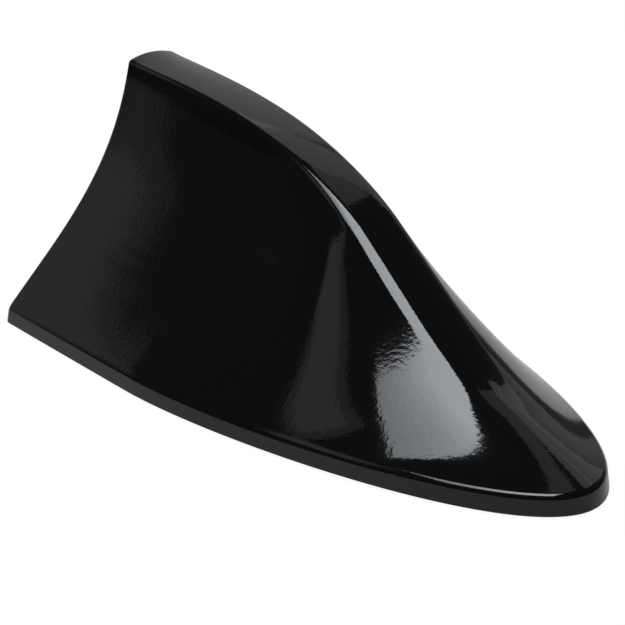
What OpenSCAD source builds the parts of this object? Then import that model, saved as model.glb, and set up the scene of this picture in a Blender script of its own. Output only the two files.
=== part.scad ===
// Shark fin roof aerial: gloss cover on a flat stick on base, with its boards inside.
// Frame: nose toward +X, both sides alike about the XZ plane, +Z up off the roof.

/* [Cover outline] */
// Length of the cover, tail to nose
body_l = 155; // [130:1:180]
// Width of the cover at its widest place
body_w = 79; // [70:0.2:88]
// Width of the cover across the tail
tail_w = 78.8; // [68:0.2:88]
// Distance of the widest place from the tail
widest_x = 50; // [44:0.2:76]
// How far the tail's own direction carries along the side
tail_reach = 14.4; // [8:0.2:24]
// How much each side opens from the tail forward
tail_flare_share = 0.01; // [0:0.01:0.1]
// How far the side stays straight behind the widest place
back_reach = 16; // [8:0.2:30]
// How far the side stays straight ahead of the widest place
front_reach = 32.4; // [14:0.2:40]
// How blunt the nose is in plan
nose_reach = 21.8; // [12:0.2:30]
// Radius of the two tail corners in plan
corner_r = 2.6; // [2:0.1:5]

/* [Cover profile] */
// Height of the spine's crest line at the tail
body_h = 56.8; // [52:0.2:68]
// How far the crest stays level behind the first bend
tip_reach = 8; // [6:0.2:20]
// Fall of the crest at the tail, as a share
tip_fall_share = 0.27; // [0.1:0.01:0.4]
// Where the spine is steepest, from the tail
steep_x = 86.6; // [76:0.2:104]
// Drop of the spine from the tail to there
steep_drop = 16.2; // [12:0.2:24]
// Fall of the spine there, as a share
steep_fall_share = 0.69; // [0.5:0.01:1]
// Straight stretch behind the steepest place
steep_back = 26.6; // [12:0.2:34]
// Straight stretch ahead of the steepest place, as a share of the run to the spine's end
steep_front_share = 0.35; // [0.3:0.01:0.8]
// Distance of the spine's end from the nose
spine_end_inset = 28; // [24:0.2:36]
// Height of the spine there
spine_end_z = 15.4; // [12:0.2:20]
// Fall of the spine there, as a share
end_fall_share = 0.34; // [0.1:0.01:0.5]
// Straight stretch where the spine runs out
end_reach = 8; // [4:0.2:12]
// Forward lean of the tail's tip
tip_lean = 0.2; // [0:0.2:12]
// How early the lean sets in up the tail
lean_curve_share = 1.29; // [0.5:0.01:1.4]
// Length over which the lean fades toward the nose
lean_reach = 53; // [40:0.2:90]

/* [Cover section] */
// Half width of the spine's flat band at the tail
spine_rear = 5.9; // [4:0.1:8]
// Half width of the spine's flat band at the nose
spine_front = 5.1; // [3.6:0.1:8]
// Radius of the spine's two edges at the tail
spine_r = 1; // [0.8:0.1:3]
// Radius of the spine's two edges at the nose
nose_spine_r = 5.5; // [2:0.1:7]
// Rise of the spine band's middle over its edges
crown = 0.25; // [0.1:0.05:0.8]
// The same rise at the tail
tail_crown = 1.1; // [0.2:0.1:1.8]
// Rounding of the spine where it meets the tail face
tip_r = 1.2; // [0.6:0.1:2.4]
// Lean of each side just below the spine, in degrees
side_draft = 11; // [3:0.5:14]
// The same lean at the nose, in degrees
nose_draft = 49; // [20:1:52]
// Height of the rim's top edge above the roof
rim_h = 5; // [4.4:0.1:8]
// Draft of the rim's wall, foot to edge
rim_draft = 0.5; // [0.2:0.05:1]
// Reach of the rounding over the rim's top edge
rim_r = 0.9; // [0.4:0.05:1.6]
// Gap between the cover's lower edge and the roof
rim_gap = 0.5; // [0.3:0.1:1]
// Slope of the sides where they meet the rim at the tail, in degrees
foot_rear = 46; // [20:0.5:50]
// Slope of the sides where they meet the rim in the middle, in degrees
foot_mid = 42; // [20:0.5:50]
// Slope of the cover where it meets the rim at the nose, in degrees
foot_nose = 47; // [24:0.5:54]
// Wall of the cover
wall = 2; // [1.6:0.1:2.4]

/* [Base and pad] */
// Thickness of the foam pad
pad_t = 1; // [0.8:0.1:1.6]
// Distance of the pad's edge from the cover's edge
pad_inset = 3; // [2.4:0.1:6]
// Thickness of the base plate
plate_t = 2; // [1.6:0.1:2.2]
// Distance of the plate's pocket from the cover's edge
pocket_inset = 1.6; // [1.2:0.1:2]
// Thickness of the squeezed rubber seal
seal_t = 0.5; // [0.3:0.1:0.6]
// Width of the rubber seal
seal_w = 1.2; // [0.8:0.1:1.3]
// Clearance between pieces that don't touch
gap = 0.3; // [0.2:0.05:0.5]

/* [Cover screws] */
// Diameter of the cover screws
screw_d = 2.6; // [2:0.1:3]
// Diameter of their heads
screw_head_d = 4.8; // [4:0.1:5.4]
// Thickness of their heads
screw_head_t = 1; // [0.6:0.1:1.2]
// Length of the screw below its head
screw_l = 6.6; // [5:0.1:7.6]
// Diameter of the cover's screw bosses
boss_d = 6; // [5:0.1:7]
// Distance of the tail screws from the tail
tail_screw_x = 12; // [9:0.5:15]
// Distance of the tail screws from the middle
tail_screw_y = 24.6; // [22:0.2:26]
// Distance of the middle screws from the tail
mid_screw_x = 88; // [84:0.5:92]
// Distance of the middle screws from the middle
mid_screw_y = 21.4; // [20:0.2:22.4]
// Distance of the nose screw from the nose
nose_screw_inset = 19; // [16:0.5:22]
// Height at which every boss has run into the wall
boss_top = 25; // [20:0.5:30]

/* [Boards] */
// Start of the main board, from the tail
board_x = 20; // [18:0.5:24]
// Length of the main board
board_l = 78; // [70:1:80]
// Width of the main board
board_w = 32; // [26:1:34]
// Thickness of the main board
board_t = 1.6; // [1:0.1:2]
// Height of the base plate's posts
post_h = 1.8; // [1.4:0.1:3]
// Diameter of the base plate's posts
post_d = 5; // [4.4:0.1:6]
// Distance of the board screws from the board's ends
hole_x = 4; // [3.4:0.1:6]
// Distance of the board screws from the board's sides
hole_y = 3.5; // [3:0.1:5]
// Diameter of the board screws
small_screw_d = 2; // [1.6:0.1:2.4]
// Diameter of their heads
small_head_d = 3.8; // [3.2:0.1:4.4]
// Thickness of their heads
small_head_t = 1.3; // [1:0.1:1.6]
// Length of a board screw below its head
small_screw_l = 4; // [3.4:0.1:4.8]
// Start of the upright board, from the tail
fin_x = 34; // [32:0.5:38]
// Room between the upright board's foot and the socket
fin_room = 6; // [4:0.5:16]
// Thickness of the upright board
fin_t = 1.2; // [0.8:0.1:1.6]
// Distance of the upright board's level top below the crest line
top_room = 11.8; // [10.4:0.2:17]
// Height of its front edge above the main board
fin_front_h = 26; // [16:0.5:28]
// Length of its level top
fin_top_l = 28; // [20:0.5:30]
// Width of the copper track
track_w = 1.6; // [1:0.1:2]
// Thickness of the copper track
track_t = 0.15; // [0.1:0.05:0.2]
// Pitch of the track's bars
track_pitch = 4.4; // [4:0.2:6]
// Length of the track's bars
track_l = 22; // [16:0.5:26]

/* [Coil and top plate] */
// Distance of the coil from the tail
coil_x = 26; // [25:0.2:28]
// Diameter of the coil's plastic core
core_d = 6; // [4:0.2:6.4]
// Bore through the core
core_bore_d = 3; // [2:0.2:3.6]
// Diameter of the core's flanges
flange_d = 8.6; // [7.6:0.2:9]
// Thickness of the core's flanges
flange_t = 1; // [0.8:0.1:1.4]
// Distance of the coil's upper flange below the top plate
coil_room = 8; // [4:0.5:12]
// Diameter of the coil's wire
wire_d = 0.9; // [0.7:0.1:1.2]
// Number of turns
turns = 24; // [16:1:26]
// Start of the top plate, from the tail
top_x = 18; // [17:0.5:20]
// Length of the top plate
top_l = 42; // [36:1:44]
// Width of the top plate
top_w = 8; // [6:0.5:8.4]
// Thickness of the top plate
top_t = 0.4; // [0.3:0.05:0.6]

/* [Small parts] */
// Length of the shield can
can_l = 28; // [22:1:30]
// Width of the shield can
can_w = 13; // [10:0.5:13.4]
// Height of the shield can
can_h = 4; // [3:0.2:5]
// Sheet of the shield can
can_t = 0.3; // [0.2:0.05:0.4]
// Start of the shield can, from the tail
can_x = 44; // [42:0.5:50]
// Distance of the shield can from the middle
can_y = 2.4; // [1.6:0.1:2.6]
// Side of the amplifier chip
chip_w = 5; // [4:0.5:7]
// Thickness of the amplifier chip
chip_t = 1; // [0.8:0.1:1.4]
// Length of a filter capacitor
cap_l = 2; // [1.6:0.1:3.2]
// Thickness of a filter capacitor
cap_t = 1.1; // [0.8:0.1:1.6]
// Side of a choke
choke_w = 5; // [4:0.5:6]
// Height of a choke
choke_h = 3; // [2:0.1:4]
// Side of the socket's body
socket_w = 6.6; // [6:0.1:8]
// Length of the socket's body
socket_l = 8; // [6:0.5:9]
// Outside diameter of the socket's barrel
barrel_d = 5.2; // [4.6:0.1:6]
// Inside diameter of the socket's barrel
barrel_bore_d = 3.8; // [3:0.1:4.2]
// Length of the socket's barrel
barrel_l = 6; // [4:0.5:8]
// Diameter of the socket's middle contact
contact_d = 1; // [0.6:0.1:1.4]
// Distance of the cable outlet behind the nose screw
cable_back = 20; // [17:0.5:23]
// Bore of the cable grommet
cable_d = 4; // [3:0.1:5]
// Diameter of the grommet's neck
neck_d = 11; // [9:0.2:12]
// Diameter of the grommet's flanges
grommet_d = 14; // [12:0.2:16]
// Thickness of the grommet's upper flange
grommet_top = 1.5; // [1:0.1:2]
// Thickness of the grommet's lower flange
grommet_low = 0.8; // [0.5:0.1:0.9]
// Distance of the vent behind the cable outlet
vent_back = 13.6; // [12:0.1:13.8]
// Diameter of the vent's membrane
vent_d = 7; // [5:0.2:7.2]
// Diameter of the vent's hole
vent_hole_d = 2.4; // [1.6:0.2:3]
// Thickness of thin sheet parts
sheet_t = 0.4; // [0.3:0.05:0.5]
// Width of the ground sheet
ground_w = 34.6; // [30:0.2:35]

/* [Hidden] */
overrun = body_l * 0.002;
rim_in = rim_draft + rim_r;
corner_n = 4;
tail_n = 9;
nose_n = 15;
band_n = 3;
edge_n = 4;
flank_n = 11;
lip_n = 4;
dome_from_share = 0.72;
dome_to_share = 0.9;
open_from_share = 0.28;
open_to_share = 0.79;
crown_run_share = 0.35;
lip_steep_share = 2;
bend_from_share = 0.45;
foot_split_share = 0.55;
spine_run_share = 0.8;
spine_max_share = 0.35;
edge_pull_share = 0.55;
upper_rear_share = 0.48;
upper_front_share = 0.62;
lower_rear_share = 0.63;
lower_front_share = 0.26;
draft_gain_share = 0.8;
lip_fall_share = 0.9;

plate_z = pad_t;
plate_top = pad_t + plate_t;
seal_top = plate_top + seal_t;
board_z = plate_top + post_h;
board_top = board_z + board_t;
fin_top = body_h - top_room;
fin_h = fin_top - board_top;
head_z = plate_z + screw_head_t;
plate_inset = pocket_inset + gap;
seal_inset = pocket_inset + gap;
board_y = board_w / 2;
can_z = board_top;
coil_h = turns * wire_d;
coil_z = fin_top - coil_room - flange_t - coil_h;
nose_screw_x = body_l - nose_screw_inset;
cable_x = nose_screw_x - cable_back;
vent_x = cable_x - vent_back;
cable_hole_d = neck_d;
socket_x = board_x + board_l - socket_l;
socket_z = board_top + socket_w / 2;
fin_l = socket_x - fin_x - fin_room;
steep_z = body_h - steep_drop;
spine_end_x = body_l - spine_end_inset;
steep_front = (spine_end_x - steep_x) * steep_front_share;
slot_r = grommet_d / 2 + gap * 4;

tail_ctl = [
    [0, tail_w / 2],
    [tail_reach, tail_w / 2 + tail_reach * tail_flare_share],
    [widest_x - back_reach, body_w / 2],
    [widest_x, body_w / 2]
];
nose_ctl = [
    [widest_x, body_w / 2],
    [widest_x + front_reach, body_w / 2],
    [body_l, nose_reach],
    [body_l, 0]
];
rise_ctl = [
    [0, body_h],
    [tip_reach, body_h - tip_reach * tip_fall_share],
    [steep_x - steep_back, steep_z + steep_back * steep_fall_share],
    [steep_x, steep_z]
];
fall_ctl = [
    [steep_x, steep_z],
    [steep_x + steep_front, steep_z - steep_front * steep_fall_share],
    [spine_end_x - end_reach, spine_end_z + end_reach * end_fall_share],
    [spine_end_x, spine_end_z]
];

// Curves
function bez(c, t) =
    pow(1 - t, 3) * c[0] + 3 * pow(1 - t, 2) * t * c[1]
    + 3 * (1 - t) * t * t * c[2] + pow(t, 3) * c[3];
function way(c, t) =
    3 * pow(1 - t, 2) * (c[1] - c[0]) + 6 * (1 - t) * t * (c[2] - c[1])
    + 3 * t * t * (c[3] - c[2]);
function unit(v) = v / norm(v);
function left(v) = [-v[1], v[0]];
function clip(u) = min(max(u, 0), 1);
function ease(u) = let(v = clip(u)) v * v * v * (6 * v * v - 15 * v + 10);
function blend(a, b, u) = a + (b - a) * u;

// The spine's middle line, as height and fall over the distance from the tail
run = concat([for (k = [0:24]) [rise_ctl, k / 24]], [for (k = [1:24]) [fall_ctl, k / 24]]);
height_table = [for (r = run) bez(r[0], r[1])];
fall_table = [for (r = run) let(w = way(r[0], r[1])) [bez(r[0], r[1])[0], w[1] / w[0]]];

// Plan outline, moved in by t: place, outward direction, and whether it is on the corner
function corner_in(t) = max(corner_r - t, rim_in + gap);
function first_u(t) = (t + corner_in(t)) / (3 * tail_reach);
function edge_place(c, u, t) =
    let(n = left(unit(way(c, u))), p = bez(c, u) - n * t) [p[0], p[1], n[0], n[1], 0];
function stations(t, nc, nt, nn) =
    let(first = edge_place(tail_ctl, first_u(t), t), r = corner_in(t))
    concat(
        [for (k = [0:nc - 1])
            let(a = 90 * k / nc)
            [t + (first[0] - t) * (1 - cos(a)), first[1] - r * (1 - sin(a)), -cos(a), sin(a), 1]],
        [for (k = [0:nt]) edge_place(tail_ctl, blend(first_u(t), 1, k / nt), t)],
        [for (k = [1:nn]) edge_place(nose_ctl, k / nn, t)]
    );
function outline(t) =
    let(s = stations(t, corner_n, tail_n, nose_n), n = len(s))
    concat([for (q = s) [q[0], -q[1]]], [for (k = [n - 2:-1:0]) [s[k][0], s[k][1]]]);

// Forward lean of the tail
function lean(p) =
    let(up = min(max((p[2] - rim_h) / (body_h - rim_h), 0), 1.2), on = max(1 - p[0] / lean_reach, 0))
    [p[0] + tip_lean * pow(up, lean_curve_share) * on * on, p[1], p[2]];

// One cut through the cover, from its foot to the spine's middle, moved in by t
function cut(q, t, first, last_x, nb, ne, nf) =
    let(
        o = [q[0], q[1]],
        n = [q[2], q[3]],
        r = o - n * rim_in,
        shift = q[4] * (first[1] - rim_in * first[3] - r[1]),
        drop = q[4] * tip_r * (1 - q[3]),
        u = clip((r[0] - bend_from_share * body_l) / (last_x - bend_from_share * body_l)),
        xc = r[0] - (last_x - spine_end_x) * u * u * u,
        fall = lookup(xc, fall_table),
        zc = lookup(xc, height_table) - drop - t * sqrt(1 + fall * fall),
        arm = [r[0] - xc, r[1]],
        reach = norm(arm),
        e = arm / reach,
        g = fall * e[0],
        share = r[0] / last_x,
        ze = rim_h - t,
        s = min(blend(spine_rear, spine_front, clip(share / spine_run_share)) - t,
            spine_max_share * reach) - shift,
        foot = share < foot_split_share
            ? blend(foot_rear, foot_mid, ease(share / foot_split_share))
            : blend(foot_mid, foot_nose, ease((share - foot_split_share) / (1 - foot_split_share))),
        k1 = blend(upper_rear_share, upper_front_share, ease(share)),
        k2 = blend(lower_rear_share, lower_front_share, ease(share)),
        dome = ease((share - dome_from_share) / (dome_to_share - dome_from_share)),
        open = ease((share - open_from_share) / (open_to_share - open_from_share)),
        draft = blend(side_draft, nose_draft, open),
        round_r = max(blend(spine_r, nose_spine_r, open) - t, gap),
        bow = blend(crown, tail_crown, pow(clip(1 - share / crown_run_share), 2)),
        down = [sin(draft), -cos(draft)],
        over = unit([-1, 2 * bow / s - g]),
        zv = zc + g * s - bow,
        bend = 180 - acos(over * down),
        pull = min(round_r * tan(bend / 2), draft_gain_share * s,
            bend_from_share * max(zv - ze, overrun)),
        v = [s, zv],
        e0 = v + pull * over,
        e1 = v + pull * down,
        lift = zc + g * e0[0] - bow * pow(e0[0] / s, 2) - e0[1],
        band = [for (k = [0:nb - 1])
            let(x = e0[0] * k / nb) [x, zc + g * x - bow * pow(x / s, 2)]],
        edge = [for (k = [0:ne])
            bez([e0, blend(e0, v, edge_pull_share), blend(e1, v, edge_pull_share), e1], k / ne)
            + [0, lift * (1 - k / ne)]],
        flank = [for (k = [1:nf])
            bez([e1, e1 + down * k1 * (zv - ze),
                [reach, ze] + [-cos(foot), sin(foot)] * k2 * (reach - s), [reach, ze]], k / nf)],
        raw = concat(band, edge, flank),
        upper = [for (p = raw)
            let(h = p[0] / reach,
                z = zc * (2 * h * h * h - 3 * h * h + 1) + reach * g * (h * h * h - 2 * h * h + h)
                    + ze * (3 * h * h - 2 * h * h * h) - reach * tan(foot) * (h * h * h - h * h))
            lean([xc + e[0] * p[0], e[1] * p[0], blend(p[1], z, dome)])],
        grade = -min(tan(foot) / max(e * n, 0.2), lip_steep_share),
        q0 = [r[0], r[1], rim_h],
        q1 = [o[0] - n[0] * rim_draft, o[1] - n[1] * rim_draft, rim_h + grade * rim_r],
        q3 = [o[0], o[1], rim_gap],
        low = clip((q1[2] - rim_r * lip_fall_share - rim_gap) / (q1[2] - rim_gap)),
        q2 = blend(q3, q1, low),
        lip = [for (k = [1:lip_n])
            bez([q0, blend(q0, q1, edge_pull_share), blend(q2, q1, edge_pull_share), q2], k / lip_n)],
        foot_end = t > 0 ? [[r[0], r[1], -overrun]] : concat(lip, [q3]),
        all = concat(upper, foot_end),
        m = len(all)
    )
    [for (k = [m - 1:-1:0]) all[k]];

// The closed surface over both sides, moved in by t
module cover_solid(t, nc, nt, nn, nb, ne, nf) {
    s = stations(t, nc, nt, nn);
    n = len(s) - 1;
    last_x = s[n][0] - rim_in;
    grid = [for (q = s) cut(q, t, s[nc], last_x, nb, ne, nf)];
    m = len(grid[0]) - 1;
    near = [for (i = [0:n]) for (j = [0:m]) [grid[i][j][0], -grid[i][j][1], grid[i][j][2]]];
    far = [for (i = [0:n - 1]) for (j = [0:m - 1]) grid[i][j]];
    function a(i, j) = i * (m + 1) + j;
    function b(i, j) = (i == n || j == m) ? a(i, j) : (n + 1) * (m + 1) + i * m + j;
    sides = [for (i = [0:n - 1]) for (j = [0:m - 1]) for (f = [
        [a(i, j), a(i, j + 1), a(i + 1, j + 1)],
        [a(i, j), a(i + 1, j + 1), a(i + 1, j)],
        [b(i, j), b(i + 1, j + 1), b(i, j + 1)],
        [b(i, j), b(i + 1, j), b(i + 1, j + 1)]]) f];
    tail = [for (j = [0:m - 1])
        j < m - 1 ? [b(0, j), b(0, j + 1), a(0, j + 1), a(0, j)] : [b(0, j), a(0, m), a(0, j)]];
    floor_face = [concat([for (i = [0:n]) a(i, 0)], [for (i = [n - 1:-1:0]) b(i, 0)])];
    polyhedron(points = concat(near, far), faces = concat(sides, tail, floor_face), convexity = 6);
}

module from_tail() {
    translate([-body_l / 2, 0, 0]) children();
}

module slab(t, z, h) {
    translate([0, 0, z]) linear_extrude(height = h) polygon(outline(t));
}

module at_cover_screws() {
    for (side = [-1, 1]) {
        translate([tail_screw_x, side * tail_screw_y, 0]) children();
        translate([mid_screw_x, side * mid_screw_y, 0]) children();
    }
    translate([nose_screw_x, 0, 0]) children();
}

module at_board_screws() {
    for (x = [board_x + hole_x, board_x + board_l - hole_x]) {
        for (side = [-1, 1]) {
            translate([x, side * (board_y - hole_y), 0]) children();
        }
    }
}

module bosses() {
    intersection() {
        cover_solid(wall / 2, 3, 6, 10, 2, 2, 7);
        at_cover_screws()
            translate([0, 0, plate_top]) cylinder(d = boss_d, h = boss_top - plate_top, $fn = 32);
    }
}

module outer_shell() {
    color("black") from_tail() difference() {
        union() {
            difference() {
                cover_solid(0, corner_n, tail_n, nose_n, band_n, edge_n, flank_n);
                cover_solid(wall, 3, 6, 10, 2, 2, 7);
                slab(pocket_inset, -overrun, seal_top + overrun);
            }
            bosses();
        }
        at_cover_screws()
            translate([0, 0, plate_top - overrun])
                cylinder(d = screw_d, h = screw_l - plate_top + head_z + overrun * 2, $fn = 24);
    }
}

module base_plate() {
    color("dimgray") from_tail() difference() {
        union() {
            slab(plate_inset, plate_z, plate_t);
            at_board_screws()
                translate([0, 0, plate_top]) cylinder(d = post_d, h = post_h, $fn = 32);
        }
        at_board_screws()
            translate([0, 0, board_z - small_screw_l + board_t])
                cylinder(d = small_screw_d, h = small_screw_l, $fn = 24);
        at_cover_screws() {
            translate([0, 0, plate_z - overrun])
                cylinder(d = screw_d + gap * 2, h = plate_t + overrun * 2, $fn = 24);
            translate([0, 0, plate_z - overrun])
                cylinder(d = screw_head_d + gap * 2, h = screw_head_t + overrun, $fn = 24);
        }
        translate([cable_x, 0, plate_z - overrun])
            cylinder(d = cable_hole_d, h = plate_t + overrun * 2, $fn = 48);
        translate([vent_x, 0, plate_z - overrun])
            cylinder(d = vent_hole_d, h = plate_t + overrun * 2, $fn = 24);
    }
}

module adhesive_pad() {
    color("gray") from_tail() difference() {
        slab(pad_inset, 0, pad_t);
        translate([cable_x, 0, -overrun]) cylinder(r = slot_r, h = pad_t + overrun * 2, $fn = 48);
        translate([vent_x, 0, -overrun]) cylinder(r = slot_r / 2, h = pad_t + overrun * 2, $fn = 32);
        translate([vent_x, -slot_r / 2, -overrun])
            cube([cable_x - vent_x, slot_r, pad_t + overrun * 2]);
    }
}

module housing_seal() {
    color("darkslategray") from_tail() difference() {
        slab(seal_inset, plate_top, seal_t);
        slab(seal_inset + seal_w, plate_top - overrun, seal_t + overrun * 2);
    }
}

module ground_plate() {
    color("silver") from_tail() difference() {
        translate([board_x - hole_x / 2, -ground_w / 2, plate_top])
            cube([board_l + hole_x / 2, ground_w, sheet_t]);
        at_board_screws()
            translate([0, 0, plate_top - overrun])
                cylinder(d = post_d + gap * 2, h = sheet_t + overrun * 2, $fn = 32);
        translate([vent_x, 0, plate_top - overrun])
            cylinder(d = vent_d + gap * 2, h = sheet_t + overrun * 2, $fn = 40);
        translate([cable_x, 0, plate_top - overrun])
            cylinder(d = grommet_d + gap * 2, h = sheet_t + overrun * 2, $fn = 48);
    }
}

module main_board() {
    color("darkgreen") from_tail() difference() {
        translate([board_x, -board_y, board_z]) cube([board_l, board_w, board_t]);
        at_board_screws()
            translate([0, 0, board_z - overrun])
                cylinder(d = small_screw_d + gap * 2, h = board_t + overrun * 2, $fn = 24);
    }
}

module element_board() {
    color("darkgreen") from_tail()
        translate([fin_x, fin_t / 2, board_top]) rotate([90, 0, 0])
            linear_extrude(height = fin_t)
                polygon([[0, 0], [fin_l, 0], [fin_l, fin_front_h], [fin_top_l, fin_h], [0, fin_h]]);
}

module radiator_track() {
    bars = floor((fin_h - track_w * 3) / track_pitch);
    start = (fin_top_l - track_l) / 2;
    color("orange") from_tail()
        translate([fin_x, fin_t / 2 + track_t, board_top + track_w]) rotate([90, 0, 0])
            linear_extrude(height = track_t) union() {
                for (k = [0:bars]) {
                    translate([start, k * track_pitch]) square([track_l, track_w]);
                }
                for (k = [0:bars - 1]) {
                    translate([k % 2 == 0 ? start : start + track_l - track_w, k * track_pitch])
                        square([track_w, track_pitch + track_w]);
                }
            }
}

module coil_former() {
    color("white") from_tail() translate([coil_x, 0, 0]) difference() {
        union() {
            translate([0, 0, board_top]) cylinder(d = core_d, h = fin_h, $fn = 40);
            translate([0, 0, coil_z - flange_t]) cylinder(d = flange_d, h = flange_t, $fn = 40);
            translate([0, 0, coil_z + coil_h]) cylinder(d = flange_d, h = flange_t, $fn = 40);
        }
        translate([0, 0, board_top - overrun])
            cylinder(d = core_bore_d, h = fin_h + overrun * 2, $fn = 32);
    }
}

module loading_coil() {
    inner = core_d / 2;
    color("orange") from_tail() translate([coil_x, 0, coil_z]) rotate_extrude($fn = 40)
        polygon(concat(
            [[inner, 0]],
            [for (k = [0:turns - 1]) for (c = [[0.5, 0], [1, 0.3], [1, 0.7], [0.5, 1]])
                [inner + wire_d * c[0], (k + c[1]) * wire_d]],
            [[inner, coil_h]]));
}

module top_plate() {
    color("silver") from_tail()
        translate([top_x, -top_w / 2, fin_top]) cube([top_l, top_w, top_t]);
}

module shield_can() {
    color("lightgray") from_tail() translate([can_x, can_y, can_z]) difference() {
        cube([can_l, can_w, can_h]);
        translate([can_t, can_t, -overrun])
            cube([can_l - can_t * 2, can_w - can_t * 2, can_h - can_t + overrun]);
    }
}

module amplifier_chip() {
    color("black") from_tail()
        translate([can_x + (can_l - chip_w) / 2, can_y + (can_w - chip_w) / 2, board_top])
            cube([chip_w, chip_w, chip_t]);
}

module filter_capacitors() {
    color("tan") from_tail()
        for (k = [0:2]) {
            for (row = [0, 1]) {
                translate([can_x + can_l * (row == 0 ? 0.1 : 0.8), can_y + can_w * (0.2 + 0.25 * k),
                    board_top])
                    cube([cap_l, cap_l / 2, cap_t]);
            }
        }
}

module choke_coils() {
    color("darkslategray") from_tail()
        for (k = [0, 1]) {
            translate([can_x + k * choke_w * 2, -can_y - choke_w * 1.6, board_top])
                cube([choke_w, choke_w, choke_h]);
        }
}

module cable_socket() {
    color("gold") from_tail() difference() {
        union() {
            translate([socket_x, -socket_w / 2, board_top]) cube([socket_l, socket_w, socket_w]);
            translate([socket_x + socket_l, 0, socket_z]) rotate([0, 90, 0]) difference() {
                cylinder(d = barrel_d, h = barrel_l, $fn = 40);
                translate([0, 0, overrun]) difference() {
                    cylinder(d = barrel_bore_d, h = barrel_l, $fn = 40);
                    cylinder(d = contact_d, h = barrel_l - contact_d, $fn = 24);
                }
            }
        }
    }
}

module cable_grommet() {
    color("black") from_tail() translate([cable_x, 0, 0]) difference() {
        union() {
            translate([0, 0, plate_z - grommet_low])
                cylinder(d = grommet_d, h = grommet_low, $fn = 48);
            translate([0, 0, plate_z]) cylinder(d = neck_d, h = plate_t, $fn = 48);
            translate([0, 0, plate_top]) cylinder(d = grommet_d, h = grommet_top, $fn = 48);
        }
        translate([0, 0, plate_z - grommet_low - overrun])
            cylinder(d = cable_d, h = plate_t + grommet_low + grommet_top + overrun * 2, $fn = 32);
    }
}

module ground_spring() {
    low = plate_top + sheet_t;
    rise = board_z - low;
    foot_l = rise * 2;
    color("gold") from_tail()
        translate([can_x, -can_y, low]) rotate([90, 0, 0])
            linear_extrude(height = foot_l * 1.5)
                polygon([
                    [0, 0], [foot_l, 0], [foot_l * 2, rise - sheet_t / 2], [foot_l * 3, rise - sheet_t / 2],
                    [foot_l * 3, rise], [foot_l * 2, rise], [foot_l, sheet_t / 2], [0, sheet_t / 2]]);
}

module board_brackets() {
    lug = track_pitch;
    color("gold") from_tail()
        for (x = [fin_x + track_w, fin_x + fin_l - lug - track_w]) {
            translate([x, -fin_t / 2 - lug, board_top]) cube([lug, lug, sheet_t]);
            translate([x, -fin_t / 2 - sheet_t, board_top]) cube([lug, sheet_t, lug]);
        }
}

module board_screws() {
    color("silver") from_tail() at_board_screws() difference() {
        union() {
            translate([0, 0, board_top]) cylinder(d = small_head_d, h = small_head_t, $fn = 32);
            translate([0, 0, board_top - small_screw_l])
                cylinder(d = small_screw_d, h = small_screw_l, $fn = 24);
        }
        for (turn = [0, 90]) {
            rotate([0, 0, turn])
                translate([-small_head_d / 3, -small_head_d / 12, board_top + small_head_t / 2])
                    cube([small_head_d / 1.5, small_head_d / 6, small_head_t]);
        }
    }
}

module cover_screws() {
    color("silver") from_tail() at_cover_screws() difference() {
        union() {
            translate([0, 0, plate_z]) cylinder(d = screw_head_d, h = screw_head_t, $fn = 32);
            translate([0, 0, plate_z]) cylinder(d = screw_d, h = screw_l + screw_head_t, $fn = 24);
        }
        for (turn = [0, 90]) {
            rotate([0, 0, turn])
                translate([-screw_head_d / 3, -screw_head_d / 14, plate_z - overrun])
                    cube([screw_head_d / 1.5, screw_head_d / 7, screw_head_t / 2 + overrun]);
        }
    }
}

module drain_membrane() {
    color("white") from_tail()
        translate([vent_x, 0, plate_top]) cylinder(d = vent_d, h = sheet_t, $fn = 40);
}

outer_shell();
base_plate();
adhesive_pad();
housing_seal();
ground_plate();
main_board();
element_board();
radiator_track();
coil_former();
loading_coil();
top_plate();
shield_can();
amplifier_chip();
filter_capacitors();
choke_coils();
cable_socket();
cable_grommet();
ground_spring();
board_brackets();
board_screws();
cover_screws();
drain_membrane();
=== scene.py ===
"""Shark fin roof aerial: gloss cover, foam pad and finishes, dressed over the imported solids."""
import logging
import math
from dataclasses import dataclass, field
from enum import Enum
from typing import Any, Callable, Iterator

import bmesh
import bpy
import numpy as np
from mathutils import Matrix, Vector


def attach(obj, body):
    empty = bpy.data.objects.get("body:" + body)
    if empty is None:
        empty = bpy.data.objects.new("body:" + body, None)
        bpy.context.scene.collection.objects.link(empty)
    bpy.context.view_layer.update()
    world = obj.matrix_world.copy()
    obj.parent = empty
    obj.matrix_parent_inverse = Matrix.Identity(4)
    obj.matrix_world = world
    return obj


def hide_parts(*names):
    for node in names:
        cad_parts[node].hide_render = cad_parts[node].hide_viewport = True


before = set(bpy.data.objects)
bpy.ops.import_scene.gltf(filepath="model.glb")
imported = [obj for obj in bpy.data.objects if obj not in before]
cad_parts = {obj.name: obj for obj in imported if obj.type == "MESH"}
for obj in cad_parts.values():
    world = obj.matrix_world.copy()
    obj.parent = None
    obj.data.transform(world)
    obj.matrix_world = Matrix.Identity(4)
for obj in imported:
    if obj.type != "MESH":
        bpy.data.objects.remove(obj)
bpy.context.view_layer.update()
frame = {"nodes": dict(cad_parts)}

LOG = logging.getLogger("aerial")
MM = 0.001


# ---------------------------------------------------------------- shader maths


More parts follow.
